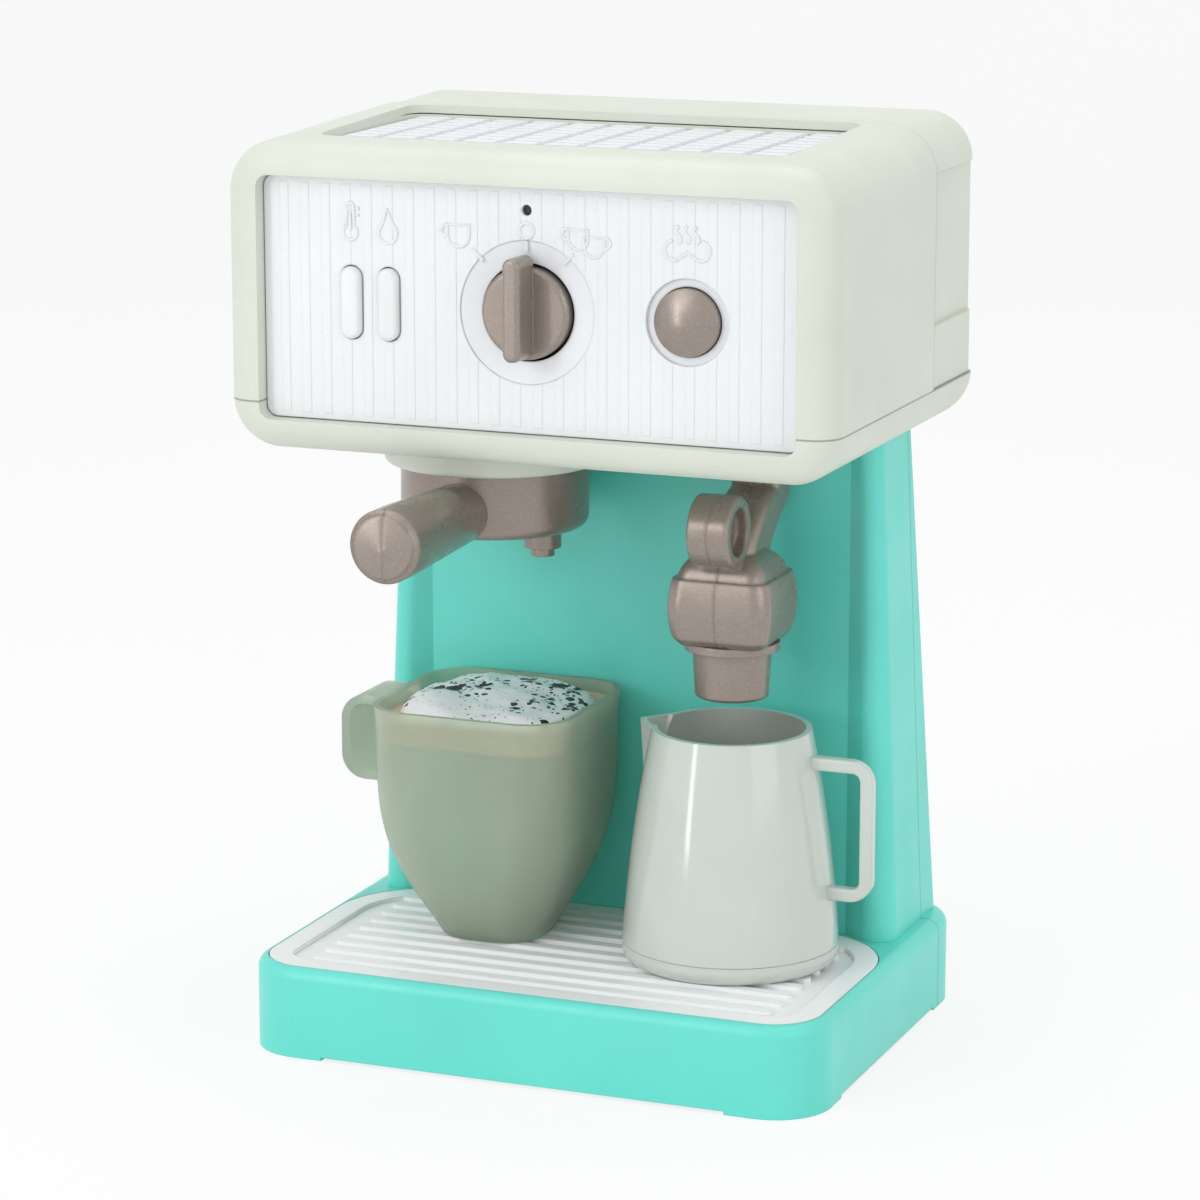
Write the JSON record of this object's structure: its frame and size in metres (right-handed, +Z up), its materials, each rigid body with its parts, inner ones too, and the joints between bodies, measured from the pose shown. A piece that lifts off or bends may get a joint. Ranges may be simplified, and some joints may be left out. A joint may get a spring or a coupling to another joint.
{
  "type": "toy coffee maker",
  "caption": "Toy espresso machine with drip tray, front panel, swinging portafilter and steam wand, a square cup with a foam insert and a milk jug.",
  "frame": {"origin": "centre of the base's underside, on the surface it stands on", "axes": "+Z up, -Y towards the control panel, +X to the right seen from the front"},
  "size_m": [0.182, 0.1581, 0.2681],
  "materials": {
    "turquoise": "satin",
    "sage": "satin",
    "white": "satin",
    "taupe": "satin metallic-looking plastic",
    "jug_plastic": "gloss",
    "cup_plastic": "gloss, part see-through",
    "peach": "matte",
    "foam_white": "matte",
    "lens": "gloss",
    "black_plastic": "matte",
    "screw_steel": "plain",
    "board": "lacquered",
    "cell_wrap": "plain wrap"
  },
  "bodies": {
    "machine": {"base_shell": "turquoise", "base_plate": "turquoise", "base_screws": "screw_steel", "drip_tray": "white", "column_shell": "turquoise", "column_rear_cover": "turquoise", "head_upper_shell": "sage", "head_lower_shell": "sage", "head_rear_cover": "sage", "battery_door": "sage", "battery_holder": "black_plastic", "batteries": "cell_wrap", "door_screw": "screw_steel", "cup_warmer_grille": "white", "front_panel": "white", "left_indicator_lens": "lens", "right_indicator_lens": "lens", "status_light": "lens", "knob_switch": "black_plastic", "circuit_board": "board", "button_spring": "screw_steel", "button_switch": "black_plastic", "speaker": "black_plastic", "group_ring": "sage"},
    "knob": {"knob_cap": "taupe"},
    "button": {"steam_button": "taupe"},
    "portafilter": {"portafilter_body": "taupe", "handle_left_half": "taupe", "handle_right_half": "taupe"},
    "wand": {"wand_left_half": "taupe", "wand_right_half": "taupe", "wand_nozzle": "taupe"},
    "cup": {"cup_shell": "cup_plastic"},
    "insert": {"latte_plug": "peach", "latte_foam": "foam_white"},
    "jug": {"jug_shell": "jug_plastic", "jug_base": "jug_plastic"}
  },
  "joints": [
    {"name": "knob_turn", "type": "hinge", "parent": "machine", "child": "knob", "pos_m": [0, -0.06, 0.221], "axis": [0, 1, 0], "range_deg": [-45, 45]},
    {"name": "button_press", "type": "slide", "parent": "machine", "child": "button", "axis": [0, 1, 0], "range_m": [0, 0.0025], "stiffness_N_per_m": 600, "deforming": ["button_spring"]},
    {"name": "portafilter_turn", "type": "hinge", "parent": "machine", "child": "portafilter", "pos_m": [-0.0315, -0.01, 0.17], "axis": [0, 0, 1], "range_deg": [-45, 0]},
    {"name": "wand_turn", "type": "hinge", "parent": "machine", "child": "wand", "pos_m": [0.0423, 0.0144, 0.18], "axis": [0, 0, 1], "range_deg": [-30, 30]},
    {"name": "cup_slide", "type": "slide", "parent": "machine", "child": "cup", "axis": [0, -1, 0], "range_m": [0, 0.15]},
    {"name": "insert_lift", "type": "slide", "parent": "cup", "child": "insert", "axis": [0, 0, 1], "range_m": [0, 0.03]},
    {"name": "jug_slide", "type": "slide", "parent": "machine", "child": "jug", "axis": [0, -1, 0], "range_m": [0, 0.15]}
  ]
}
